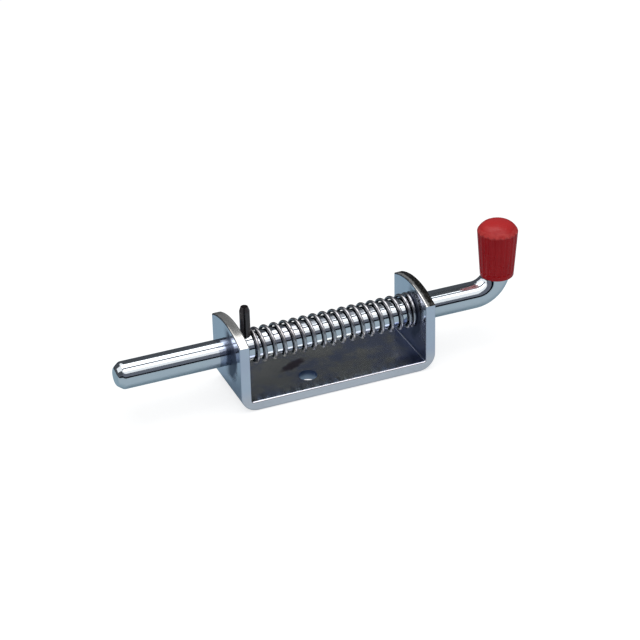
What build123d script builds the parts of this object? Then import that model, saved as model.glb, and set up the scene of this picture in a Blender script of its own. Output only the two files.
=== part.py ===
from build123d import *
import os

# Spring loaded gate latch.
# A round bolt slides through the two ears of a folded plate bracket. A roll pin
# through the bolt holds one end of a compression spring and the far ear holds
# the other, so the bolt is thrown by itself and is drawn back by its upturned
# handle, which carries a tapered grip.
# Millimetres. X runs along the bolt with its nose at -X, Z is up, and the origin
# is the middle of the bracket's underside.

# Bracket, folded from one plate
PLATE_THICKNESS = 6.0
BRACKET_LENGTH = 120.0
BRACKET_WIDTH = 45.0
SHOULDER_HEIGHT = 42.0
ARCH_RISE = 5.0
OUTER_BEND_RADIUS = 10.0
INNER_BEND_RADIUS = 1.0
PLATE_EDGE_BREAK = 0.9
FIXING_HOLE_DIAMETER = 11.0
FIXING_HOLE_X = -14.0
FIXING_HOLE_Y = -8.0

# Bolt, one bent round bar
ROD_DIAMETER = 16.0
ROD_HEIGHT = 29.0
BORE_CLEARANCE = 0.1
NOSE_REACH = 66.5
NOSE_TAPER_LENGTH = 4.0
NOSE_TAPER_DEPTH = 3.0
NOSE_EDGE_RADIUS = 3.0
HANDLE_OFFSET = 50.0
HANDLE_BEND_RADIUS = 15.0
HANDLE_RISE = 37.0
HANDLE_END_CHAMFER = 1.0

# Roll pin, a slotted tube pressed through the bolt
PIN_DIAMETER = 6.0
PIN_WALL = 1.2
PIN_SLOT = 1.0
PIN_SLOT_ANGLE = 248.0
PIN_LENGTH = 36.0
PIN_UPPER_REACH = 18.3
PIN_TAPER_LENGTH = 2.6
PIN_TAPER_DEPTH = 0.85
PIN_EAR_GAP = 2.8

# Spring: a flat turn at the pin, open turns, a tighter turn and a flat one at the ear
WIRE_DIAMETER = 2.0
SPRING_BORE_CLEARANCE = 0.45
SPRING_END_GAP = 0.1
SPRING_OPEN_TURNS = 15.5
SPRING_TIP_GAP = 0.1
SPRING_EAR_FLAT_ANGLE = 150.0

# Grip, a tapered moulded cap pushed on the handle
GRIP_BOTTOM_HEIGHT = 10.5
GRIP_LENGTH = 32.8
GRIP_BOTTOM_RADIUS = 9.9
GRIP_TOP_RADIUS = 11.95
GRIP_BOTTOM_ROUND = 0.7
GRIP_RIM_WIDTH = 2.45
GRIP_RIM_DROP = 3.8
GRIP_RIM_ROUND = 0.8
GRIP_SHOULDER_ROUND = 8.5
GRIP_DOME_RISE = 2.0
GRIP_FIT = 0.05
GRIP_FLUTES = 20
GRIP_FLUTE_DEPTH = 0.45
GRIP_FLUTE_RADIUS = 1.6
GRIP_FLUTE_MARGIN = 3.0

# Places that follow from the sizes above
ROD_RADIUS = ROD_DIAMETER / 2
PIN_RADIUS = PIN_DIAMETER / 2
WIRE_RADIUS = WIRE_DIAMETER / 2
EAR_OUTER_X = BRACKET_LENGTH / 2
EAR_INNER_X = EAR_OUTER_X - PLATE_THICKNESS
CROWN_HEIGHT = SHOULDER_HEIGHT + ARCH_RISE
NOSE_X = -(EAR_OUTER_X + NOSE_REACH)
HANDLE_X = EAR_OUTER_X + HANDLE_OFFSET
BEND_START_X = HANDLE_X - HANDLE_BEND_RADIUS
HANDLE_TOP_Z = ROD_HEIGHT + HANDLE_RISE
PIN_X = -EAR_INNER_X + PIN_EAR_GAP + PIN_RADIUS
PIN_TOP_Z = ROD_HEIGHT + ROD_RADIUS + PIN_UPPER_REACH
COIL_RADIUS = ROD_RADIUS + SPRING_BORE_CLEARANCE + WIRE_RADIUS
GRIP_BOTTOM_Z = ROD_HEIGHT + GRIP_BOTTOM_HEIGHT
GRIP_RIM_Z = GRIP_BOTTOM_Z + GRIP_LENGTH


def bracket():
    """The plate folded up at both ends into arched ears."""
    section = Pos(0, CROWN_HEIGHT / 2) * Rectangle(BRACKET_LENGTH, CROWN_HEIGHT)
    section = fillet(section.vertices().group_by(Axis.Y)[0], OUTER_BEND_RADIUS)
    space = Pos(0, PLATE_THICKNESS + CROWN_HEIGHT / 2) * Rectangle(2 * EAR_INNER_X, CROWN_HEIGHT)
    space = fillet(space.vertices().group_by(Axis.Y)[0], INNER_BEND_RADIUS)
    folded = extrude(Plane.XZ * (section - space), amount=BRACKET_WIDTH / 2, both=True)

    side = BRACKET_WIDTH / 2
    foot = Line((-side, 0), (side, 0))
    front = Line(foot @ 1, (side, SHOULDER_HEIGHT))
    arch = ThreePointArc(front @ 1, (0, CROWN_HEIGHT), (-side, SHOULDER_HEIGHT))
    back = Line(arch @ 1, foot @ 0)
    ear_outline = make_face([foot, front, arch, back])
    folded = folded & extrude(Plane.YZ * ear_outline, amount=EAR_OUTER_X, both=True)

    long_edges = [edge for edge in folded.edges() if is_plate_edge(edge)]
    folded = fillet(long_edges, PLATE_EDGE_BREAK)

    bore_radius = ROD_RADIUS + BORE_CLEARANCE
    bores = Pos(0, 0, ROD_HEIGHT) * Rot(0, 90, 0) * Cylinder(bore_radius, BRACKET_LENGTH)
    hole = Pos(FIXING_HOLE_X, FIXING_HOLE_Y, PLATE_THICKNESS / 2)
    hole *= Cylinder(FIXING_HOLE_DIAMETER / 2, PLATE_THICKNESS)
    return folded - bores - hole


def is_plate_edge(edge):
    """True for an edge along the front, the back or the arched tops of the plate."""
    middle = edge.center()
    on_side = abs(abs(middle.Y) - BRACKET_WIDTH / 2) < PLATE_EDGE_BREAK / 2
    on_shoulder = abs(middle.Z - SHOULDER_HEIGHT) < PLATE_EDGE_BREAK / 2
    on_arch = edge.geom_type == GeomType.CIRCLE and middle.Z > SHOULDER_HEIGHT
    return (on_side and not on_shoulder) or on_arch


def handle_bar(radius):
    """A round bar of the given radius along the bend and the upturned leg."""
    bend_centre = (BEND_START_X, ROD_HEIGHT + HANDLE_BEND_RADIUS)
    bend = CenterArc(bend_centre, HANDLE_BEND_RADIUS, start_angle=270, arc_size=90)
    leg = Line(bend @ 1, (HANDLE_X, HANDLE_TOP_Z))
    start = Plane(origin=(BEND_START_X, 0, ROD_HEIGHT), z_dir=(1, 0, 0))
    return sweep(start * Circle(radius), path=Plane.XZ * (bend + leg))


def bolt_rod():
    """The straight bolt with its tapered nose, the bend and the upturned handle."""
    nose_radius = ROD_RADIUS - NOSE_TAPER_DEPTH
    taper_end = NOSE_X + NOSE_TAPER_LENGTH
    outline = Polyline(
        (NOSE_X, 0),
        (NOSE_X, nose_radius),
        (taper_end, ROD_RADIUS),
        (BEND_START_X, ROD_RADIUS),
        (BEND_START_X, 0),
        close=True,
    )
    half = make_face(outline)
    corners = [v for v in half.vertices() if v.Y > 0 and v.X < taper_end + NOSE_EDGE_RADIUS]
    half = fillet(corners, NOSE_EDGE_RADIUS)
    straight = Pos(0, 0, ROD_HEIGHT) * revolve(Plane.XZ * half, axis=Axis.X)

    handle = handle_bar(ROD_RADIUS)
    handle = chamfer(handle.edges().group_by(Axis.Z)[-1], HANDLE_END_CHAMFER)
    pin_hole = Pos(PIN_X, 0, ROD_HEIGHT) * Cylinder(PIN_RADIUS, 2 * ROD_DIAMETER)
    return straight + handle - pin_hole


def roll_pin():
    """A hollow pin with tapered ends and a slot down its whole length."""
    bottom = PIN_TOP_Z - PIN_LENGTH
    bore = PIN_RADIUS - PIN_WALL
    tip = PIN_RADIUS - PIN_TAPER_DEPTH
    outline = Polyline(
        (bore, bottom),
        (tip, bottom),
        (PIN_RADIUS, bottom + PIN_TAPER_LENGTH),
        (PIN_RADIUS, PIN_TOP_Z - PIN_TAPER_LENGTH),
        (tip, PIN_TOP_Z),
        (bore, PIN_TOP_Z),
        close=True,
    )
    tube = revolve(Plane.XZ * make_face(outline), axis=Axis.Z)
    slot = Pos(PIN_RADIUS, 0, PIN_TOP_Z - PIN_LENGTH / 2) * Box(PIN_DIAMETER, PIN_SLOT, PIN_LENGTH)
    return Pos(PIN_X, 0, 0) * (tube - Rot(0, 0, PIN_SLOT_ANGLE) * slot)


def open_turns(pitch, turns):
    """Wire wound round the X axis from the top, first towards the front."""
    path = Helix(pitch, pitch * turns, COIL_RADIUS, direction=(1, 0, 0))
    return sweep(wire_section(), path=path, is_frenet=True)


def flat_turn(angle):
    """Wire bent round the X axis from the top, with no pitch."""
    return revolve(wire_section(), axis=Axis.X, revolution_arc=angle)


def wire_section():
    """The wire cut at the top of the coil."""
    return Plane.XZ * Pos(0, COIL_RADIUS) * Circle(WIRE_RADIUS)


def spring():
    """One wire: each end lies flat, and its tip just clears the turn beside it."""
    first = PIN_X + PIN_RADIUS + SPRING_END_GAP + WIRE_RADIUS
    last = EAR_INNER_X - SPRING_END_GAP - WIRE_RADIUS
    tip_spacing = WIRE_DIAMETER + SPRING_TIP_GAP
    closing_pitch = tip_spacing / (1 - SPRING_EAR_FLAT_ANGLE / 360)
    closing_x = last - closing_pitch
    open_pitch = (closing_x - first) / SPRING_OPEN_TURNS
    pin_flat_angle = 360 * (1 - tip_spacing / open_pitch)

    leaves_pin = 180
    leaves_open = leaves_pin + 360 * SPRING_OPEN_TURNS
    wire = Pos(first, 0, 0) * Rot(leaves_pin - pin_flat_angle, 0, 0) * flat_turn(pin_flat_angle)
    wire += Pos(first, 0, 0) * Rot(leaves_pin, 0, 0) * open_turns(open_pitch, SPRING_OPEN_TURNS)
    wire += Pos(closing_x, 0, 0) * Rot(leaves_open, 0, 0) * open_turns(closing_pitch, 1)
    wire += Pos(last, 0, 0) * Rot(leaves_open, 0, 0) * flat_turn(SPRING_EAR_FLAT_ANGLE)
    return Pos(0, 0, ROD_HEIGHT) * wire


def grip():
    """The tapered cap: crowned top, blind bore, flutes that run out over its rim."""
    crown_radius = GRIP_TOP_RADIUS - GRIP_RIM_WIDTH
    ball = (crown_radius**2 + GRIP_DOME_RISE**2) / (2 * GRIP_DOME_RISE)
    ball_z = GRIP_RIM_Z + GRIP_DOME_RISE - ball
    halfway = crown_radius / 2
    foot = Line((0, GRIP_BOTTOM_Z), (GRIP_BOTTOM_RADIUS, GRIP_BOTTOM_Z))
    side = Line(foot @ 1, (GRIP_TOP_RADIUS, GRIP_RIM_Z - GRIP_RIM_DROP))
    shoulder = Line(side @ 1, (crown_radius, GRIP_RIM_Z))
    on_dome = (halfway, ball_z + (ball**2 - halfway**2) ** 0.5)
    dome = ThreePointArc(shoulder @ 1, on_dome, (0, ball_z + ball))
    middle = Line(dome @ 1, foot @ 0)
    half = make_face([foot, side, shoulder, dome, middle])
    corners = [(foot @ 1, GRIP_BOTTOM_ROUND), (side @ 1, GRIP_RIM_ROUND)]
    corners += [(shoulder @ 1, GRIP_SHOULDER_ROUND)]
    for corner, radius in corners:
        half = fillet(half.vertices().sort_by_distance(corner)[0], radius)
    body = revolve(Plane.XZ * half, axis=Axis.Z)

    slope = (GRIP_TOP_RADIUS - GRIP_BOTTOM_RADIUS) / (GRIP_LENGTH - GRIP_RIM_DROP)
    low = GRIP_BOTTOM_Z + GRIP_FLUTE_MARGIN
    outward = GRIP_BOTTOM_RADIUS + GRIP_FLUTE_RADIUS - GRIP_FLUTE_DEPTH
    low_point = Vector(outward + slope * GRIP_FLUTE_MARGIN, 0, low)
    high_point = Vector(outward + slope * GRIP_LENGTH, 0, GRIP_RIM_Z)
    along = high_point - low_point
    flute = extrude(Plane(origin=low_point, z_dir=along) * Circle(GRIP_FLUTE_RADIUS), along.length)
    for number in range(GRIP_FLUTES):
        body -= Rot(0, 0, 360 * number / GRIP_FLUTES) * flute

    return Pos(HANDLE_X, 0, 0) * body - handle_bar(ROD_RADIUS + GRIP_FIT)


os.makedirs("parts", exist_ok=True)
export_step(bracket(), "parts/bracket.step")
export_step(bolt_rod(), "parts/bolt_rod.step")
export_step(roll_pin(), "parts/roll_pin.step")
export_step(spring(), "parts/spring.step")
export_step(grip(), "parts/grip.step")
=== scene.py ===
# %% [markdown]
# # Dressing a spring loaded gate latch
# The latch is five pieces: a folded plate bracket, a bent round bolt, a slotted
# pin through the bolt, a compression spring and a moulded grip. Their sizes come
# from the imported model. This script gives them their finishes, winds the spring
# from one wire and sets up the studio.

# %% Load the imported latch
import math

import bmesh
import bpy
from mathutils import Matrix, Vector


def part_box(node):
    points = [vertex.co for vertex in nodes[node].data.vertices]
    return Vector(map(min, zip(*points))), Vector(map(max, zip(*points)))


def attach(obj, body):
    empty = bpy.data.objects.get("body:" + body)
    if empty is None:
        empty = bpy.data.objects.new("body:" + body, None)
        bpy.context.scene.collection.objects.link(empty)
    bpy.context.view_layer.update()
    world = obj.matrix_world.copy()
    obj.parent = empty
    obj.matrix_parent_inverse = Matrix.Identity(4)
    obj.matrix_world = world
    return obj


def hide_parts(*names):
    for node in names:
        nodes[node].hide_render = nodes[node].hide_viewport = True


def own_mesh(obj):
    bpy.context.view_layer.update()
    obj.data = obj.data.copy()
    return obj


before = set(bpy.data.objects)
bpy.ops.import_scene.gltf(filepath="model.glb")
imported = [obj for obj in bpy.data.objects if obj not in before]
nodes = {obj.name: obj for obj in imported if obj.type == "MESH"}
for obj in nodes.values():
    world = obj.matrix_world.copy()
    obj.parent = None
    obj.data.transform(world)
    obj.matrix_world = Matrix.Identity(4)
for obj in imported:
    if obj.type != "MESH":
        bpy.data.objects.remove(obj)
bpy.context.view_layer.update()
scene = bpy.context.scene
scene.view_settings.view_transform = "Standard"
print("pieces in the frame:", ", ".join(sorted(nodes)))

# %% [markdown]
# ## The camera
# A long lens from well back keeps the edges of the plate nearly parallel, as a
# catalogue picture does. The place was worked out from the corners of the plate
# and the outline of the bolt, so it is written as three angles, a distance and a
# point to look at.

# %% Camera
CAMERA_AZIMUTH = math.radians(-22.123)
CAMERA_ELEVATION = math.radians(30.118)
CAMERA_ROLL = math.radians(-1.311)
CAMERA_DISTANCE = 1.31073
CAMERA_TARGET = Vector((-0.002503, 0.0, 0.035511))
CAMERA_REACH = 20.0
LENS = 128.995
SENSOR = 36.0

away = Vector((
    math.sin(CAMERA_AZIMUTH) * math.cos(CAMERA_ELEVATION),
    -math.cos(CAMERA_AZIMUTH) * math.cos(CAMERA_ELEVATION),
    math.sin(CAMERA_ELEVATION),
))
level = (-away).to_track_quat("-Z", "Y").to_matrix()

camera = bpy.data.objects.new("camera", bpy.data.cameras.new("camera"))
scene.collection.objects.link(camera)
scene.camera = camera
camera.data.lens = LENS
camera.data.sensor_width = SENSOR
camera.data.clip_end = CAMERA_REACH
camera.location = CAMERA_TARGET + away * CAMERA_DISTANCE
camera.rotation_euler = (level @ Matrix.Rotation(CAMERA_ROLL, 3, "Z")).to_euler()
print("camera at", [round(value, 3) for value in camera.location])

# %% [markdown]
# ## Small helpers for node trees
# Every finish is a node tree, so placing a node and joining two sockets get a
# short function each. A group is a node tree with named inputs and outputs: it
# is built once and then placed in each material with its own values.

# %% Socket kinds and numbers
FLOAT = "NodeSocketFloat"
COLOR = "NodeSocketColor"
VECTOR = "NodeSocketVector"
MIX_SHARE = 0
MIX_NUMBERS = (2, 3)
MIX_COLORS = (6, 7)
MIXED_NUMBER = 0
MIXED_COLOR = 2
print("a Mix node takes its two colours at sockets", MIX_COLORS)


# %% Node helpers
def set_inputs(node, values):
    """Set a node's inputs by name, with _ for a space."""
    for name, value in values.items():
        node.inputs[name.replace("_", " ")].default_value = value


def place(tree, kind, **values):
    """Add a node and set its inputs."""
    node = tree.nodes.new(kind)
    set_inputs(node, values)
    return node


def join(tree, *pairs):
    """Join sockets two by two."""
    for source, target in pairs:
        tree.links.new(source, target)


def feed(tree, source, socket):
    """Join a socket to this one, or give it a plain value."""
    if isinstance(source, bpy.types.NodeSocket):
        join(tree, (source, socket))
    else:
        socket.default_value = source


def mix_colors(tree, share, first, second):
    """The first colour where share is 0, and the second where it is 1."""
    node = tree.nodes.new("ShaderNodeMix")
    node.data_type = "RGBA"
    for source, number in zip((share, first, second), (MIX_SHARE, *MIX_COLORS)):
        feed(tree, source, node.inputs[number])
    return node.outputs[MIXED_COLOR]


def new_group(name, inputs, outputs):
    """An empty node group with its sockets, and its two end nodes."""
    tree = bpy.data.node_groups.new(name, "ShaderNodeTree")
    for label, kind, value in inputs:
        socket = tree.interface.new_socket(label, in_out="INPUT", socket_type=kind)
        socket.default_value = value
    for label, kind in outputs:
        tree.interface.new_socket(label, in_out="OUTPUT", socket_type=kind)
    return tree, tree.nodes.new("NodeGroupInput"), tree.nodes.new("NodeGroupOutput")


def use_group(tree, group, **values):
    """Place a group in a material with its own values."""
    node = tree.nodes.new("ShaderNodeGroup")
    node.node_tree = group
    set_inputs(node, values)
    return node


# %% [markdown]
# ## Plating tone
# Bright zinc is dipped in a thin clear passivate. It leaves the metal blue-white,
# with soft patches that lean to lavender or straw where the film is thicker. A
# large noise picks between two tones, and a second noise adds the film.

# %% Plating tone group
FILM_SCALE = 38.0
FILM_STARTS, FILM_ENDS = 0.48, 0.72
FILM_SHARE = 0.6


def build_plating_tone():
    tree, given, result = new_group(
        "plating_tone",
        [("Light Tone", COLOR, (0.8, 0.86, 0.92, 1)), ("Dark Tone", COLOR, (0.7, 0.76, 0.84, 1)),
         ("Film Tone", COLOR, (0.8, 0.78, 0.9, 1)), ("Patch Scale", FLOAT, 60.0)],
        [("Color", COLOR)],
    )
    where = tree.nodes.new("ShaderNodeTexCoord")
    patches = place(tree, "ShaderNodeTexNoise", Detail=4.0, Roughness=0.6)
    film = place(tree, "ShaderNodeTexNoise", Scale=FILM_SCALE, Detail=2.0)
    film_mask = place(
        tree, "ShaderNodeMapRange", From_Min=FILM_STARTS, From_Max=FILM_ENDS, To_Max=FILM_SHARE,
    )
    join(
        tree,
        (where.outputs["Object"], patches.inputs["Vector"]),
        (given.outputs["Patch Scale"], patches.inputs["Scale"]),
        (where.outputs["Object"], film.inputs["Vector"]),
        (film.outputs["Fac"], film_mask.inputs["Value"]),
    )
    tone = mix_colors(
        tree, patches.outputs["Fac"], given.outputs["Light Tone"], given.outputs["Dark Tone"],
    )
    filmed = mix_colors(tree, film_mask.outputs["Result"], tone, given.outputs["Film Tone"])
    join(tree, (filmed, result.inputs["Color"]))
    return tree


plating_tone = build_plating_tone()
print("group:", plating_tone.name)

# %% [markdown]
# ## Surface grain
# Rolled plate and drawn bar both keep faint lines along the way they were worked,
# and plating adds a fine pebble. One group gives both: a noise stretched along
# the work, and a fine even noise. It puts out a height for a Bump node and a
# roughness, which drifts over wide patches.

# %% Surface grain group
WIDE_SCALE = 55.0
WIDE_STARTS, WIDE_ENDS = 0.35, 0.68


def build_surface_grain():
    tree, given, result = new_group(
        "surface_grain",
        [("Stretch", VECTOR, (1, 1, 1)), ("Line Scale", FLOAT, 900.0),
         ("Pebble Scale", FLOAT, 1400.0), ("Pebble Share", FLOAT, 0.5),
         ("Smooth", FLOAT, 0.12), ("Rough", FLOAT, 0.26)],
        [("Height", FLOAT), ("Roughness", FLOAT)],
    )
    where = tree.nodes.new("ShaderNodeTexCoord")
    stretched = tree.nodes.new("ShaderNodeVectorMath")
    stretched.operation = "MULTIPLY"
    lines = place(tree, "ShaderNodeTexNoise", Detail=3.0, Roughness=0.55)
    pebble = place(tree, "ShaderNodeTexNoise", Detail=2.0, Roughness=0.5)
    height = tree.nodes.new("ShaderNodeMix")
    wide = place(tree, "ShaderNodeTexNoise", Scale=WIDE_SCALE, Detail=3.0)
    wide_mask = place(tree, "ShaderNodeMapRange", From_Min=WIDE_STARTS, From_Max=WIDE_ENDS)
    roughness = tree.nodes.new("ShaderNodeMapRange")
    join(
        tree,
        (where.outputs["Object"], stretched.inputs[0]),
        (given.outputs["Stretch"], stretched.inputs[1]),
        (stretched.outputs["Vector"], lines.inputs["Vector"]),
        (given.outputs["Line Scale"], lines.inputs["Scale"]),
        (where.outputs["Object"], pebble.inputs["Vector"]),
        (given.outputs["Pebble Scale"], pebble.inputs["Scale"]),
        (given.outputs["Pebble Share"], height.inputs[MIX_SHARE]),
        (lines.outputs["Fac"], height.inputs[MIX_NUMBERS[0]]),
        (pebble.outputs["Fac"], height.inputs[MIX_NUMBERS[1]]),
        (height.outputs[MIXED_NUMBER], result.inputs["Height"]),
        (where.outputs["Object"], wide.inputs["Vector"]),
        (wide.outputs["Fac"], wide_mask.inputs["Value"]),
        (wide_mask.outputs["Result"], roughness.inputs["Value"]),
        (given.outputs["Smooth"], roughness.inputs["To Min"]),
        (given.outputs["Rough"], roughness.inputs["To Max"]),
        (roughness.outputs["Result"], result.inputs["Roughness"]),
    )
    return tree


surface_grain = build_surface_grain()
print("group:", surface_grain.name)

# %% [markdown]
# ## Where the finish changes
# Plating is thin where the bath hardly reaches and shearing leaves the plate's
# edges brighter. Shade, dark reflections and a highlight are painted too: in the
# channel, on the ears' tops, round the bores, on the spring and on the grip. A
# mask marks each such place. It is worked out from the place on the piece and the
# way its surface faces, so it needs no painted texture. These helpers read both
# and turn them into soft steps. A pair of numbers below is where such a step
# starts and ends, in metres where it is a place, or the two ends that a noise is
# spread between.

# %% Mask helpers
NOISE_LOW, NOISE_HIGH = 0.3, 0.7


def piece_spot(tree):
    """The place on the piece, as one vector and as X, Y and Z."""
    where = tree.nodes.new("ShaderNodeTexCoord")
    spot = tree.nodes.new("ShaderNodeSeparateXYZ")
    join(tree, (where.outputs["Object"], spot.inputs["Vector"]))
    return where.outputs["Object"], spot.outputs


def piece_facing(tree):
    """The way that the surface faces, as X, Y and Z."""
    where = tree.nodes.new("ShaderNodeTexCoord")
    facing = tree.nodes.new("ShaderNodeSeparateXYZ")
    join(tree, (where.outputs["Normal"], facing.inputs["Vector"]))
    return facing.outputs


def ramp(tree, source, start, end):
    """0 where the value is at start, 1 where it is at end, smooth between."""
    node = place(tree, "ShaderNodeMapRange", From_Min=start, From_Max=end)
    node.interpolation_type = "SMOOTHSTEP"
    join(tree, (source, node.inputs["Value"]))
    return node.outputs["Result"]


def work_out(tree, operation, *sources):
    """A Math node on sockets or numbers."""
    node = tree.nodes.new("ShaderNodeMath")
    node.operation = operation
    for socket, source in zip(node.inputs, sources):
        feed(tree, source, socket)
    return node.outputs["Value"]


def product(tree, first, *others):
    """Sockets or numbers multiplied, one after another."""
    for other in others:
        first = work_out(tree, "MULTIPLY", first, other)
    return first


def noise_value(tree, vector, scale, low, high, detail=4.0):
    """A soft noise spread between low and high."""
    noise = place(tree, "ShaderNodeTexNoise", Detail=detail, Roughness=0.6)
    spread = place(
        tree, "ShaderNodeMapRange", From_Min=NOISE_LOW, From_Max=NOISE_HIGH, To_Min=low, To_Max=high,
    )
    feed(tree, scale, noise.inputs["Scale"])
    join(tree, (vector, noise.inputs["Vector"]), (noise.outputs["Fac"], spread.inputs["Value"]))
    return spread.outputs["Result"]


def from_axis(tree, spot, axis_height):
    """Distance from the bolt's axis."""
    z = work_out(tree, "SUBTRACT", spot["Z"], axis_height)
    square = work_out(tree, "MULTIPLY_ADD", spot["Y"], spot["Y"], product(tree, z, z))
    return work_out(tree, "SQRT", square)


print("a noise mostly lies between", NOISE_LOW, "and", NOISE_HIGH)

# %% [markdown]
# ## The channel between the ears
# The bath and the light reach the channel least. Its plating is thin and dull
# with soft blots, and shade is painted into it: its base is painted darker, its
# upright faces darker still, and one long painted shadow lies on the base
# behind the hole.

# %% Channel mask
CHANNEL_MARGIN = 0.0002
DOWN_THE_HOLE = (-0.0046, -0.0014)
UP_THE_EARS = (0.0, 0.75)
CHANNEL_UNEVEN_SCALE = 45.0
CHANNEL_UNEVEN = 0.2
BLOT_SPREAD = (-1.25, 1.35)
BLOTS_LEAN = (0.05, -0.02)
BLOT_TO_STRAW = (-0.1, 1.5)
UPRIGHT = (0.7, 0.3)
UPWARD = (0.8, 0.95)
SHADOW_BLUR_SCALE = 220.0
SHADOW_BLUR = 0.25
SHADOW_EDGE = (1.25, 0.6)


def build_channel_mask():
    """1 on the base's upper side, the lower part of the ears' inner faces and the hole's upper part.

    Straw marks the blots in it, which are more towards -X, Walls its upright faces,
    where a darker shade is painted, and the last output one long painted shadow on
    the base behind the hole."""
    tree, given, result = new_group(
        "channel_mask",
        [("Inner X", FLOAT, 0.054), ("Inner Y", FLOAT, 0.0215), ("Base Z", FLOAT, 0.006),
         ("Fade Z", FLOAT, 0.034), ("Blot Scale", FLOAT, 70.0),
         ("Painted Shadow Place", VECTOR, (-0.0176, 0.0059, 0.006)), ("Painted Shadow Turn", VECTOR, (0, 0, 0.454)),
         ("Painted Shadow Size", VECTOR, (0.0100, 0.0033, 0.01))],
        [("Mask", FLOAT), ("Straw", FLOAT), ("Walls", FLOAT), ("Painted Shadow", FLOAT)],
    )
    vector, spot = piece_spot(tree)
    facing = piece_facing(tree)

    inner_x = work_out(tree, "ADD", given.outputs["Inner X"], CHANNEL_MARGIN)
    in_x = work_out(tree, "LESS_THAN", work_out(tree, "ABSOLUTE", spot["X"]), inner_x)
    in_y = work_out(tree, "LESS_THAN", work_out(tree, "ABSOLUTE", spot["Y"]), given.outputs["Inner Y"])
    above_base = work_out(tree, "SUBTRACT", spot["Z"], given.outputs["Base Z"])
    inside = product(tree, in_x, in_y, ramp(tree, above_base, *DOWN_THE_HOLE))

    below_fade = work_out(tree, "SUBTRACT", given.outputs["Fade Z"], spot["Z"])
    span = work_out(tree, "SUBTRACT", given.outputs["Fade Z"], given.outputs["Base Z"])
    uneven = noise_value(tree, vector, CHANNEL_UNEVEN_SCALE, -CHANNEL_UNEVEN, CHANNEL_UNEVEN)
    depth = work_out(tree, "ADD", work_out(tree, "DIVIDE", below_fade, span), uneven)
    mask = product(tree, inside, ramp(tree, depth, *UP_THE_EARS))

    blots = noise_value(tree, vector, given.outputs["Blot Scale"], *BLOT_SPREAD, detail=5.0)
    lean = ramp(tree, spot["X"], *BLOTS_LEAN)
    straw = ramp(tree, work_out(tree, "ADD", blots, lean), *BLOT_TO_STRAW)
    upright = ramp(tree, work_out(tree, "ABSOLUTE", facing["Z"]), *UPRIGHT)

    # a painted shadow on the base behind the hole, blurred at its edge
    shadow_spot = tree.nodes.new("ShaderNodeMapping")
    shadow_spot.vector_type = "TEXTURE"
    reach = tree.nodes.new("ShaderNodeVectorMath")
    reach.operation = "LENGTH"
    join(
        tree,
        (vector, shadow_spot.inputs["Vector"]),
        (given.outputs["Painted Shadow Place"], shadow_spot.inputs["Location"]),
        (given.outputs["Painted Shadow Turn"], shadow_spot.inputs["Rotation"]),
        (given.outputs["Painted Shadow Size"], shadow_spot.inputs["Scale"]),
        (shadow_spot.outputs["Vector"], reach.inputs[0]),
    )
    blur = noise_value(tree, vector, SHADOW_BLUR_SCALE, -SHADOW_BLUR, SHADOW_BLUR)
    blurred = work_out(tree, "ADD", reach.outputs["Value"], blur)
    painted_shadow = product(tree, ramp(tree, blurred, *SHADOW_EDGE), ramp(tree, facing["Z"], *UPWARD))

    join(
        tree,
        (mask, result.inputs["Mask"]),
        (product(tree, mask, straw), result.inputs["Straw"]),
        (product(tree, mask, upright), result.inputs["Walls"]),
        (product(tree, mask, painted_shadow), result.inputs["Painted Shadow"]),
    )
    return tree


channel_mask = build_channel_mask()
print("mask:", channel_mask.name)

# %% [markdown]
# ## Cut edges
# Shearing leaves the plate's edges brighter and rougher than its rolled faces. On
# the ears' arched tops a dark reflection is painted over the outer side of the
# cut, with lighter streaks, and along both borders towards the back.

# %% Cut edge mask
SIDE_EDGE = (-0.0006, -0.0002)
SIDE_TOP = (0.016, 0.005)
SHOULDER_MARGIN = 0.0004
TOP_FACING = (0.6, 0.85)
RAGGED_SCALE = 400.0
RAGGED = 0.0005
STREAK_SCALE = 700.0
STREAKS = (0.86, 1.1)
DARK_REFLECTION_ALONG = (-0.1, 0.05)
DARK_REFLECTION_EDGE = (-0.0016, -0.0004)
BORDER_REFLECTION_EDGE = (0.0022, 0.0028)
BORDER_REFLECTION_TOWARDS_BACK = (-0.012, -0.002)
BORDER_REFLECTION_SHARE = 0.8


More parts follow.
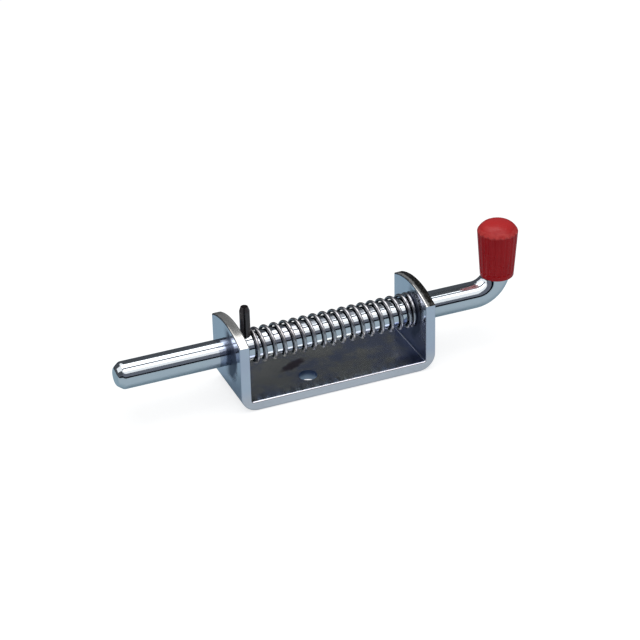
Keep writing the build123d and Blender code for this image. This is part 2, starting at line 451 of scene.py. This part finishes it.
def build_cut_edge_mask():
    """1 on the base's front and back edges.

    Sheared is the ears' arched tops, and the third output the painted dark reflection
    on their ragged outer side and along both borders towards the back."""
    tree, given, result = new_group(
        "cut_edge_mask",
        [("Half Width", FLOAT, 0.0225), ("Shoulder Z", FLOAT, 0.042), ("Middle X", FLOAT, 0.057)],
        [("Mask", FLOAT), ("Sheared", FLOAT), ("Dark Reflection", FLOAT)],
    )
    vector, spot = piece_spot(tree)
    facing = piece_facing(tree)

    side = work_out(tree, "ABSOLUTE", spot["Y"])
    past_side = work_out(tree, "SUBTRACT", side, given.outputs["Half Width"])
    at_side = ramp(tree, past_side, *SIDE_EDGE)

    shoulder = work_out(tree, "SUBTRACT", given.outputs["Shoulder Z"], SHOULDER_MARGIN)
    high = work_out(tree, "GREATER_THAN", spot["Z"], shoulder)
    on_top = product(tree, high, ramp(tree, facing["Z"], *TOP_FACING))

    end = work_out(tree, "ABSOLUTE", spot["X"])
    outward = work_out(tree, "SUBTRACT", end, given.outputs["Middle X"])
    ragged = work_out(tree, "ADD", outward, noise_value(tree, vector, RAGGED_SCALE, -RAGGED, RAGGED))
    streaks = noise_value(tree, vector, STREAK_SCALE, *STREAKS)
    # painted dark reflection on the outer side of the ears' tops, with lighter streaks
    outer_dark_reflection = product(
        tree, on_top, ramp(tree, ragged, *DARK_REFLECTION_EDGE), streaks, ramp(tree, spot["X"], *DARK_REFLECTION_ALONG),
    )
    # painted dark reflection along both borders of the ears' tops, towards the back
    border = ramp(tree, work_out(tree, "ABSOLUTE", ragged), *BORDER_REFLECTION_EDGE)
    border_reflection = product(tree, on_top, border, ramp(tree, spot["Y"], *BORDER_REFLECTION_TOWARDS_BACK), BORDER_REFLECTION_SHARE)

    join(
        tree,
        (product(tree, at_side, ramp(tree, spot["Z"], *SIDE_TOP)), result.inputs["Mask"]),
        (on_top, result.inputs["Sheared"]),
        (work_out(tree, "MAXIMUM", outer_dark_reflection, border_reflection), result.inputs["Dark Reflection"]),
    )
    return tree


cut_edge_mask = build_cut_edge_mask()
print("mask:", cut_edge_mask.name)

# %% [markdown]
# ## Painted shade round the bores
# Shadow and the bolt's dark reflection are painted on the plate round the front
# half of each bore, further down than up, and the ear's dark reflection is
# painted on the bolt in the nose-side ear and just outside it.

# %% Bore shade mask
BELOW_BORE = (0.038, 0.030)
RING_UNEVEN_SCALE = 90.0
RING_UNEVEN = 0.2
RING_EDGE = (1.1, 0.6)
EAR_FACING = (0.7, 0.95)
FRONT_HALF = (0.004, -0.006)
EAR_REFLECTION_EDGE = (0.0003, -0.0003)
EAR_REFLECTION_BLOT_SCALE = 160.0
EAR_REFLECTION_BLOTS = (0.55, 1.0)
EAR_THICKNESS = 0.006


def build_grease_mask():
    """Ring is 1 on the plate round the bores, where shadow and the bolt's dark reflection are painted.
    The other output is 1 on the bolt at the nose-side ear, where the ear's dark reflection is painted.
    """
    tree, given, result = new_group(
        "bore_shade_mask",
        [("Axis Z", FLOAT, 0.029), ("Bore Radius", FLOAT, 0.0081), ("Reach", FLOAT, 0.009),
         ("Ear X", FLOAT, -0.06), ("Ear Reflection", FLOAT, 0.0065), ("Reach Down", FLOAT, 0.0095)],
        [("Ring", FLOAT), ("Ear Reflection", FLOAT)],
    )
    vector, spot = piece_spot(tree)
    facing = piece_facing(tree)

    axis_distance = from_axis(tree, spot, given.outputs["Axis Z"])
    outward = work_out(tree, "SUBTRACT", axis_distance, given.outputs["Bore Radius"])
    further = work_out(tree, "SUBTRACT", given.outputs["Reach Down"], given.outputs["Reach"])
    below = ramp(tree, spot["Z"], *BELOW_BORE)
    reach = work_out(tree, "MULTIPLY_ADD", below, further, given.outputs["Reach"])
    share = work_out(tree, "DIVIDE", outward, reach)
    uneven = noise_value(tree, vector, RING_UNEVEN_SCALE, -RING_UNEVEN, RING_UNEVEN, detail=2.0)
    in_reach = ramp(tree, work_out(tree, "ADD", share, uneven), *RING_EDGE)
    flat = ramp(tree, work_out(tree, "ABSOLUTE", facing["X"]), *EAR_FACING)
    in_front = ramp(tree, spot["Y"], *FRONT_HALF)

    before_ear = work_out(tree, "SUBTRACT", given.outputs["Ear X"], spot["X"])
    edge = work_out(tree, "SUBTRACT", before_ear, given.outputs["Ear Reflection"])
    blots = noise_value(tree, vector, EAR_REFLECTION_BLOT_SCALE, *EAR_REFLECTION_BLOTS)
    past_inner_face = work_out(tree, "GREATER_THAN", before_ear, -EAR_THICKNESS)

    join(
        tree,
        (product(tree, flat, in_front, in_reach), result.inputs["Ring"]),
        (product(tree, ramp(tree, edge, *EAR_REFLECTION_EDGE), blots, past_inner_face), result.inputs["Ear Reflection"]),
    )
    return tree


bore_shade_mask = build_grease_mask()
print("mask:", bore_shade_mask.name)

# %% [markdown]
# ## Painted shade on the spring, and the grip's rub
# Shade is painted on the side of a coil that faces the bolt, and its under side
# is painted darker too. The grip is rubbed pale in a band round its rim, where a
# highlight is painted as well, and a sheen is painted lightly over its top.

# %% Inner side mask
INNER_SIDE = (-0.25, 0.35)
UNDER_SIDE = (-0.1, -0.7)


def build_inner_side_mask():
    """1 on the side of the coil that faces the bolt, where near-black shade is painted.
    Under is its side that faces the base, which is painted darker as shade.
    """
    tree, given, result = new_group(
        "inner_side_mask",
        [("Axis Z", FLOAT, 0.029), ("Coil Radius", FLOAT, 0.00945), ("Wire Radius", FLOAT, 0.001)],
        [("Mask", FLOAT), ("Under", FLOAT)],
    )
    _, spot = piece_spot(tree)
    axis_distance = from_axis(tree, spot, given.outputs["Axis Z"])
    inward = work_out(tree, "SUBTRACT", given.outputs["Coil Radius"], axis_distance)
    depth = work_out(tree, "DIVIDE", inward, given.outputs["Wire Radius"])
    join(
        tree,
        (ramp(tree, depth, *INNER_SIDE), result.inputs["Mask"]),
        (ramp(tree, piece_facing(tree)["Z"], *UNDER_SIDE), result.inputs["Under"]),
    )
    return tree


inner_side_mask = build_inner_side_mask()
print("mask:", inner_side_mask.name)

# %% Rim mask
RIM_RAGGED_SCALE = 250.0
RIM_RAGGED = 0.0006
UPPER_EDGE = (-0.0006, 0.0006)
LOWER_EDGE = (-0.0002, 0.0004)
RIM_STREAKS = (0.25, 1.0)


def build_rim_mask():
    """1 in the band round the grip's rim, broken into short streaks, where rub wear and a painted
    highlight lie, and a weaker painted sheen over its top.
    """
    tree, given, result = new_group(
        "rim_mask",
        [("Top Z", FLOAT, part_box("grip")[1].z), ("Upper", FLOAT, 0.0032), ("Lower", FLOAT, 0.0064),
         ("Streak Scale", FLOAT, 420.0), ("Top Sheen", FLOAT, 0.3)],
        [("Mask", FLOAT)],
    )
    vector, spot = piece_spot(tree)
    below_top = work_out(tree, "SUBTRACT", given.outputs["Top Z"], spot["Z"])
    uneven = noise_value(tree, vector, RIM_RAGGED_SCALE, -RIM_RAGGED, RIM_RAGGED)
    ragged = work_out(tree, "ADD", below_top, uneven)
    past_upper = work_out(tree, "SUBTRACT", ragged, given.outputs["Upper"])
    before_lower = work_out(tree, "SUBTRACT", given.outputs["Lower"], ragged)
    streaks = noise_value(tree, vector, given.outputs["Streak Scale"], *RIM_STREAKS)
    band = product(
        tree, ramp(tree, past_upper, *UPPER_EDGE), ramp(tree, before_lower, *LOWER_EDGE), streaks,
    )
    # a weaker painted sheen over the top
    above_band = ramp(tree, past_upper, *reversed(UPPER_EDGE))
    top_sheen = product(tree, above_band, given.outputs["Top Sheen"])
    join(tree, (work_out(tree, "MAXIMUM", band, top_sheen), result.inputs["Mask"]))
    return tree


rim_mask = build_rim_mask()
print("mask:", rim_mask.name)

# %% [markdown]
# ## A finish from the groups
# Each finish places the tone and the grain with its own values, and keeps its own
# Principled shader. A mask, where there is one, turns the tone dull and the
# surface rougher, and some masks paint shade, a dark reflection or a highlight
# into the tone.

# %% Finish builder
BUMP_DISTANCE = 0.0002


def build_finish(name, shader_values, tones, grain, bump, wear_and_painted_light=(), scuffed=None):
    """A material from the shared groups.

    Entries for wear and painted light are a mask group, its output, a tone, its
    share and the roughness added there; some paint shade, a dark reflection or a
    highlight. Scuffed is a mask group that is also among those entries, its output
    and how much less metallic the surface is there."""
    material = bpy.data.materials.new(name)
    material.use_nodes = True
    tree = material.node_tree
    tree.nodes.clear()
    shader = place(tree, "ShaderNodeBsdfPrincipled", **shader_values)
    surface = use_group(tree, surface_grain, **grain)
    relief = place(tree, "ShaderNodeBump", Strength=bump, Distance=BUMP_DISTANCE)
    end = tree.nodes.new("ShaderNodeOutputMaterial")
    color = use_group(tree, plating_tone, **tones).outputs["Color"]
    roughness = surface.outputs["Roughness"]
    placed = {}
    for group, output, tone, share, added in wear_and_painted_light:
        if group.name not in placed:
            placed[group.name] = use_group(tree, group)
        mask = placed[group.name].outputs[output]
        color = mix_colors(tree, product(tree, mask, share), color, (*tone, 1))
        if added:
            roughness = work_out(tree, "MULTIPLY_ADD", mask, added, roughness)
    if scuffed:
        group, output, share = scuffed
        metallic = work_out(tree, "MULTIPLY_ADD", placed[group.name].outputs[output], -share, 1)
        join(tree, (metallic, shader.inputs["Metallic"]))
    join(
        tree,
        (color, shader.inputs["Base Color"]),
        (roughness, shader.inputs["Roughness"]),
        (surface.outputs["Height"], relief.inputs["Height"]),
        (relief.outputs["Normal"], shader.inputs["Normal"]),
        (shader.outputs["BSDF"], end.inputs["Surface"]),
    )
    return material


print("bump distance:", BUMP_DISTANCE, "m")

# %% [markdown]
# ## Three plated metals
# The plate, the bar and the wire are the same plating on different stock. The
# plate carries the most wear and painted shade, the bar is the brightest, and the
# wire is dull.

# %% Plated metals
METAL = {"Metallic": 1.0}

zinc_plate = build_finish(
    "zinc_plate",
    METAL,
    {"Light_Tone": (0.80, 0.84, 0.94, 1), "Dark_Tone": (0.68, 0.74, 0.85, 1),
     "Film_Tone": (0.72, 0.70, 0.86, 1), "Patch_Scale": 70.0},
    {"Stretch": (0.25, 1, 1), "Line_Scale": 700.0, "Pebble_Scale": 1100.0, "Pebble_Share": 0.6,
     "Smooth": 0.09, "Rough": 0.17},
    bump=0.035,
    wear_and_painted_light=[
        # the channel: thin, dull plating with painted shade
        (channel_mask, "Mask", (0.43, 0.48, 0.65), 0.95, 0.06),
        (channel_mask, "Straw", (0.70, 0.69, 0.62), 0.9, 0),
        # painted shade on the channel's upright faces
        (channel_mask, "Walls", (0.12, 0.16, 0.28), 0.92, 0.10),
        # a painted shadow on the base behind the hole
        (channel_mask, "Painted Shadow", (0.12, 0.085, 0.11), 0.9, 0.05),
        (cut_edge_mask, "Mask", (0.90, 0.86, 0.89), 1.0, 0.05),
        (cut_edge_mask, "Sheared", (0.86, 0.84, 0.79), 0.9, 0.02),
        # painted dark reflection on the ears' arched tops
        (cut_edge_mask, "Dark Reflection", (0.02, 0.018, 0.015), 1.0, 0.10),
        # painted shadow and dark reflection round the bores
        (bore_shade_mask, "Ring", (0.07, 0.09, 0.15), 0.95, 0.3),
    ],
    scuffed=(cut_edge_mask, "Sheared", 0.22),
)
zinc_bar = build_finish(
    "zinc_bar",
    METAL,
    {"Light_Tone": (0.82, 0.87, 0.91, 1), "Dark_Tone": (0.72, 0.78, 0.83, 1),
     "Film_Tone": (0.78, 0.76, 0.87, 1), "Patch_Scale": 60.0},
    {"Stretch": (0.08, 1, 1), "Line_Scale": 900.0, "Pebble_Scale": 1500.0, "Pebble_Share": 0.4,
     "Smooth": 0.05, "Rough": 0.11},
    bump=0.02,
    # painted dark reflection of the nose-side ear on the bolt
    wear_and_painted_light=[(bore_shade_mask, "Ear Reflection", (0.20, 0.25, 0.38), 0.75, 0.05)],
)
spring_wire = build_finish(
    "spring_wire",
    METAL,
    {"Light_Tone": (0.62, 0.61, 0.63, 1), "Dark_Tone": (0.48, 0.48, 0.51, 1),
     "Film_Tone": (0.58, 0.53, 0.51, 1), "Patch_Scale": 120.0},
    {"Stretch": (1, 1, 1), "Line_Scale": 900.0, "Pebble_Scale": 2200.0, "Pebble_Share": 0.7,
     "Smooth": 0.22, "Rough": 0.34},
    bump=0.04,
    wear_and_painted_light=[
        # painted shade on the coil's under side
        (inner_side_mask, "Under", (0.20, 0.20, 0.21), 0.9, 0.05),
        # near-black painted shade on the side of the coil that faces the bolt
        (inner_side_mask, "Mask", (0.02, 0.02, 0.025), 1.0, 0.2),
    ],
)
print("metals:", zinc_plate.name, zinc_bar.name, spring_wire.name)

# %% [markdown]
# ## Blackened pin and moulded grip
# A slotted spring pin is hardened and oil blacked. The oxide is nearly black with
# a satin shine, and its shader is not metallic. The grip is a soft moulded
# plastic: deep red, a little uneven in colour, with a low broad shine. It has an
# even orange peel in place of drawn lines, the rub on its rim with a painted
# highlight in the same band, and a painted sheen over its top.

# %% Pin and grip finishes
black_steel = build_finish(
    "black_steel",
    {"Specular_IOR_Level": 0.6},
    {"Light_Tone": (0.044, 0.036, 0.038, 1), "Dark_Tone": (0.064, 0.054, 0.056, 1),
     "Film_Tone": (0.072, 0.056, 0.058, 1), "Patch_Scale": 300.0},
    {"Stretch": (1, 1, 0.15), "Line_Scale": 1500.0, "Pebble_Scale": 1800.0, "Pebble_Share": 0.6,
     "Smooth": 0.28, "Rough": 0.42},
    bump=0.12,
)
red_plastic = build_finish(
    "red_plastic",
    {"Specular_IOR_Level": 0.25},
    {"Light_Tone": (0.56, 0.008, 0.013, 1), "Dark_Tone": (0.46, 0.005, 0.010, 1),
     "Film_Tone": (0.60, 0.014, 0.016, 1), "Patch_Scale": 120.0},
    {"Stretch": (1, 1, 1), "Line_Scale": 1600.0, "Pebble_Scale": 2400.0, "Pebble_Share": 0.5,
     "Smooth": 0.22, "Rough": 0.32},
    bump=0.1,
    # rub wear and a painted highlight round the rim, and a painted sheen over the top
    wear_and_painted_light=[(rim_mask, "Mask", (0.80, 0.11, 0.10), 0.75, 0)],
)
print("finishes:", black_steel.name, red_plastic.name)

# %% [markdown]
# ## Finishes on the rigid pieces
# The bracket, the bolt, the pin and the grip keep the solids' own shape. Only
# their material slots change.


# %% Assign the finishes
def finish_node(name, material):
    """Give one rigid piece its finish."""
    mesh = nodes[name].data
    mesh.materials.clear()
    mesh.materials.append(material)
    print(name, "faces:", len(mesh.polygons), "finish:", material.name)


finish_node("bracket", zinc_plate)
finish_node("bolt_rod", zinc_bar)
finish_node("roll_pin", black_steel)
finish_node("grip", red_plastic)

# %% [markdown]
# ## The spring, wound from one wire
# A compression spring starts with a flat turn, opens out, tightens again and ends
# flat, so that it stands square on its seats. Here the wire's place along the
# bolt is a function of how far it has turned. Averaging that function over a
# short arc rounds the bends between the stretches, which a real coiler does too.

# %% Spring sizes
WIRE_RADIUS = 0.001
OPEN_TURNS = 15.5
EAR_FLAT_ANGLE = math.radians(150)
TIP_GAP = 0.0001
BLEND_ARC = math.radians(50)
BLEND_SAMPLES = 9
TANGENT_STEP = 0.01
STEPS_PER_TURN = 64
WIRE_SIDES = 18
END_SHRINK = {0: 0.72, 1: 0.93}

spring_low, spring_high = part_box("spring")
first_x = spring_low.x + WIRE_RADIUS
last_x = spring_high.x - WIRE_RADIUS
coil_radius = (spring_high.z - spring_low.z) / 2 - WIRE_RADIUS
axis_z = (spring_high.z + spring_low.z) / 2
tip_spacing = 2 * WIRE_RADIUS + TIP_GAP
closing_pitch = tip_spacing / (1 - EAR_FLAT_ANGLE / math.tau)
open_pitch = (last_x - closing_pitch - first_x) / OPEN_TURNS
pin_flat_angle = math.tau * (1 - tip_spacing / open_pitch)
print(f"coil radius {coil_radius * 1000:.2f} mm, open pitch {open_pitch * 1000:.2f} mm")


# %% Where the wire is
def wire_place(angle):
    """X of the wire's centre after it has turned this far past the pin's flat turn."""
    if angle <= 0:
        return first_x
    open_angle = OPEN_TURNS * math.tau
    if angle <= open_angle:
        return first_x + open_pitch * angle / math.tau
    closing = closing_pitch * (angle - open_angle) / math.tau
    return min(first_x + open_pitch * OPEN_TURNS + closing, last_x)


def wire_point(angle):
    """The wire's centre, with the bends between its stretches rounded."""
    arcs = [BLEND_ARC * (k / (BLEND_SAMPLES - 1) - 0.5) for k in range(BLEND_SAMPLES)]
    x = sum(wire_place(angle + arc) for arc in arcs) / BLEND_SAMPLES
    turned = angle + math.pi
    return Vector((x, -coil_radius * math.sin(turned), axis_z + coil_radius * math.cos(turned)))


print(f"the wire starts at x {wire_point(0).x * 1000:.2f} mm")


# %% Sweep the wire
def wire_ring(shape, angle, size):
    """The corners of the wire's section at one place along it."""
    centre = wire_point(angle)
    along = (wire_point(angle + TANGENT_STEP) - wire_point(angle - TANGENT_STEP)).normalized()
    outward = Vector((0, centre.y, centre.z - axis_z)).normalized()
    side = along.cross(outward)
    turns = [math.tau * k / WIRE_SIDES for k in range(WIRE_SIDES)]
    return [
        shape.verts.new(centre + outward * size * math.cos(turn) + side * size * math.sin(turn))
        for turn in turns
    ]


def sweep_wire(name, start, stop):
    """A closed tube along the wire, with softly rounded ends."""
    mesh = bpy.data.meshes.new(name)
    shape = bmesh.new()
    steps = int((stop - start) / math.tau * STEPS_PER_TURN)
    rings = []
    for step in range(steps + 1):
        angle = start + (stop - start) * step / steps
        size = WIRE_RADIUS * END_SHRINK.get(min(step, steps - step), 1.0)
        rings.append(wire_ring(shape, angle, size))
    for ring, following in zip(rings, rings[1:]):
        for k in range(WIRE_SIDES):
            after = (k + 1) % WIRE_SIDES
            shape.faces.new((ring[k], ring[after], following[after], following[k]))
    shape.faces.new(reversed(rings[0]))
    shape.faces.new(rings[-1])
    bmesh.ops.recalc_face_normals(shape, faces=shape.faces)
    for face in shape.faces:
        face.smooth = len(face.verts) == 4
    shape.to_mesh(mesh)
    shape.free()
    piece = bpy.data.objects.new(name, mesh)
    scene.collection.objects.link(piece)
    return piece


whole_turn = OPEN_TURNS * math.tau + math.tau + EAR_FLAT_ANGLE
coil = sweep_wire("coil_spring", -pin_flat_angle, whole_turn)
coil.data.materials.append(spring_wire)
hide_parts("spring")
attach(coil, "bracket")
print("spring faces:", len(coil.data.polygons))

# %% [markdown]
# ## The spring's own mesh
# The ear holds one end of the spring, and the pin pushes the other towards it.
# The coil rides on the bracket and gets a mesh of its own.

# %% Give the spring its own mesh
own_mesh(coil)

# %% [markdown]
# ## Studio
# Bright metal shows what stands round it, so the studio is part of the finish. A
# broad softbox hangs over a pale floor, and grey and black cards stand round the
# latch, hang below the softbox and lie on the floor behind. The cards give the
# bar its dark bands and the base its charcoal tone.

# %% Studio sizes
FLOOR_RADIUS = 4.0
FLOOR_SEGMENTS = 96
FLOOR_DROP = 0.0002
SOFTBOX_SIZE = 1.5
SOFTBOX_FORWARD = 0.05
SOFTBOX_HEIGHT = 1.25
SOFTBOX_RADIANCE = 1.42
FILL_STRENGTH = 0.32
CARD_RADIUS = 1.6
HANGING_CARD_HEIGHT = 1.24
LYING_CARD_HEIGHT = 0.001
print(f"softbox {SOFTBOX_SIZE} m square at {SOFTBOX_HEIGHT} m")


# %% Background
def build_world():
    """White to the camera and in reflections, and a gentler fill for the rest."""
    world = bpy.data.worlds.new("studio")
    world.use_nodes = True
    tree = world.node_tree
    tree.nodes.clear()
    ray = tree.nodes.new("ShaderNodeLightPath")
    seen = tree.nodes.new("ShaderNodeMath")
    seen.operation = "ADD"
    seen.use_clamp = True
    clear = tree.nodes.new("ShaderNodeMath")
    clear.operation = "ADD"
    clear.use_clamp = True
    white = place(tree, "ShaderNodeBackground", Color=(1, 1, 1, 1), Strength=1.0)
    fill = place(tree, "ShaderNodeBackground", Color=(0.95, 0.98, 1, 1), Strength=FILL_STRENGTH)
    choice = tree.nodes.new("ShaderNodeMixShader")
    end = tree.nodes.new("ShaderNodeOutputWorld")
    join(
        tree,
        (ray.outputs["Is Camera Ray"], seen.inputs[0]),
        (ray.outputs["Is Glossy Ray"], seen.inputs[1]),
        (seen.outputs["Value"], clear.inputs[0]),
        (ray.outputs["Is Transmission Ray"], clear.inputs[1]),
        (clear.outputs["Value"], choice.inputs["Fac"]),
        (fill.outputs["Background"], choice.inputs[1]),
        (white.outputs["Background"], choice.inputs[2]),
        (choice.outputs["Shader"], end.inputs["Surface"]),
    )
    return world


scene.world = build_world()
print("world:", scene.world.name)


# %% Softbox
def hang_softbox():
    """A square light overhead with the radiance given in the studio sizes."""
    lamp = bpy.data.lights.new("softbox", "AREA")
    lamp.shape = "SQUARE"
    lamp.size = SOFTBOX_SIZE
    lamp.energy = SOFTBOX_RADIANCE * math.pi * SOFTBOX_SIZE**2
    box = bpy.data.objects.new("softbox", lamp)
    box.location = (0, -SOFTBOX_FORWARD, SOFTBOX_HEIGHT)
    scene.collection.objects.link(box)
    return box


softbox = hang_softbox()
print(f"softbox {softbox.data.energy:.1f} W")

# %% [markdown]
# ## The floor
# To the camera the floor is nearly white and keeps the latch's soft shadow. To
# everything else it is a pale blue paper, a little darker towards the back,
# which the outer faces of the plate and the lower half of the bar reflect.

# %% Floor
PAPER_FRONT = (0.525, 0.62, 0.68, 1)
PAPER_BACK = (0.375, 0.50, 0.575, 1)
PAPER_TURNS = (-0.03, 0.01)
SHADOW_TONE = (0.4, 0.4, 0.4, 1)
FLOOR_LIFT = 0.78


def floor_paper():
    """Pale paper that stays white to the camera and keeps a light shadow."""
    material = bpy.data.materials.new("floor_paper")
    material.use_nodes = True
    tree = material.node_tree
    tree.nodes.clear()
    ray = tree.nodes.new("ShaderNodeLightPath")
    _, spot = piece_spot(tree)
    paper = tree.nodes.new("ShaderNodeBsdfDiffuse")
    shade = mix_colors(tree, ramp(tree, spot["Y"], *PAPER_TURNS), PAPER_FRONT, PAPER_BACK)
    pale = place(tree, "ShaderNodeBsdfDiffuse", Color=SHADOW_TONE)
    lift = place(tree, "ShaderNodeEmission", Color=(1, 1, 1, 1), Strength=FLOOR_LIFT)
    lifted = tree.nodes.new("ShaderNodeAddShader")
    choice = tree.nodes.new("ShaderNodeMixShader")
    end = tree.nodes.new("ShaderNodeOutputMaterial")
    join(
        tree,
        (shade, paper.inputs["Color"]),
        (pale.outputs["BSDF"], lifted.inputs[0]),
        (lift.outputs["Emission"], lifted.inputs[1]),
        (ray.outputs["Is Camera Ray"], choice.inputs["Fac"]),
        (paper.outputs["BSDF"], choice.inputs[1]),
        (lifted.outputs["Shader"], choice.inputs[2]),
        (choice.outputs["Shader"], end.inputs["Surface"]),
    )
    return material


def lay_floor():
    """A large round floor just under the bracket."""
    mesh = bpy.data.meshes.new("floor")
    shape = bmesh.new()
    bmesh.ops.create_circle(shape, cap_ends=True, segments=FLOOR_SEGMENTS, radius=FLOOR_RADIUS)
    shape.to_mesh(mesh)
    shape.free()
    floor = bpy.data.objects.new("floor", mesh)
    floor.location = (0, 0, -FLOOR_DROP)
    mesh.materials.append(floor_paper())
    scene.collection.objects.link(floor)
    return floor


print("floor:", lay_floor().name)

# %% [markdown]
# ## The cards
# Only reflections see a card. A standing card curves round the latch, and its top
# edge is a list of angles above the floor. It sets how wide each dark band on the
# bar is. The hanging cards shade parts of the softbox's reflection, and the lying
# one darkens the floor behind.


# %% Card helpers
def card_felt(tone):
    """Flat felt, which reflections see and nothing else does."""
    material = bpy.data.materials.new("card_felt")
    material.use_nodes = True
    tree = material.node_tree
    tree.nodes.clear()
    felt = place(tree, "ShaderNodeEmission", Color=(*tone, 1), Strength=1.0)
    end = tree.nodes.new("ShaderNodeOutputMaterial")
    join(tree, (felt.outputs["Emission"], end.inputs["Surface"]))
    return material


def set_card(name, corners, faces, tone):
    """A card from its corners, seen in reflections only."""
    mesh = bpy.data.meshes.new(name)
    mesh.from_pydata(corners, [], faces)
    card = bpy.data.objects.new(name, mesh)
    mesh.materials.append(card_felt(tone))
    scene.collection.objects.link(card)
    card.visible_camera = False
    card.visible_diffuse = False
    card.visible_shadow = False
    card.visible_transmission = False
    print("card:", name)


def stand_card(name, middle, half_width, low, tops, tone, steps=24):
    """A curved card round the latch. Middle and half width are turns from +Y in degrees.

    Low and tops are angles above the floor, and the tops go from left to right."""
    corners = []
    for step in range(steps + 1):
        share = step / steps
        turn = math.radians(middle - half_width + 2 * half_width * share)
        along_tops = share * (len(tops) - 1)
        k = min(int(along_tops), len(tops) - 2)
        top = tops[k] + (tops[k + 1] - tops[k]) * (along_tops - k)
        for lift in (low, top):
            height = CARD_RADIUS * math.tan(math.radians(lift))
            corners.append((CARD_RADIUS * math.sin(turn), CARD_RADIUS * math.cos(turn), height))
    faces = [(2 * k, 2 * k + 2, 2 * k + 3, 2 * k + 1) for k in range(steps)]
    set_card(name, corners, faces, tone)


def flat_card(name, corners, height, tone):
    """A flat card at one height."""
    set_card(name, [(x, y, height) for x, y in corners], [tuple(range(len(corners)))], tone)


# %% Standing cards
stand_card(
    "back_card", middle=0, half_width=115, low=0, tops=(34, 34, 34, 34, 46, 60, 60, 56, 54),
    tone=(0.075, 0.081, 0.091), steps=32,
)
stand_card(
    "front_low_card", middle=180, half_width=65, low=0, tops=(11, 11),
    tone=(0.002, 0.004, 0.008),
)
stand_card(
    "front_high_card", middle=180, half_width=65, low=11, tops=(20, 22, 25, 36, 38, 38, 38, 38, 38),
    tone=(0.14, 0.15, 0.18), steps=32,
)

# %% Hanging and lying cards
flat_card(
    "grey_flag", [(0.37, 0.05), (0.46, 1.0), (0.58, 1.0), (0.47, 0.05)],
    HANGING_CARD_HEIGHT, (0.42, 0.43, 0.46),
)
flat_card(
    "right_flag", [(0.47, 0.05), (0.58, 1.0), (1.6, 1.2), (1.6, 0.05)],
    HANGING_CARD_HEIGHT, (0.05, 0.055, 0.06),
)
flat_card(
    "overhead_strip", [(-1.2, -0.33), (1.2, -0.33), (1.2, -0.05), (-1.2, -0.05)],
    HANGING_CARD_HEIGHT, (0.16, 0.17, 0.19),
)
flat_card(
    "far_floor_card", [(-1.6, 0.12), (1.6, 0.12), (1.6, 1.6), (-1.6, 1.6)],
    LYING_CARD_HEIGHT, (0.03, 0.035, 0.04),
)

# %% [markdown]
# ## The end
# The script ends here.

# %% Finish
print("finished")
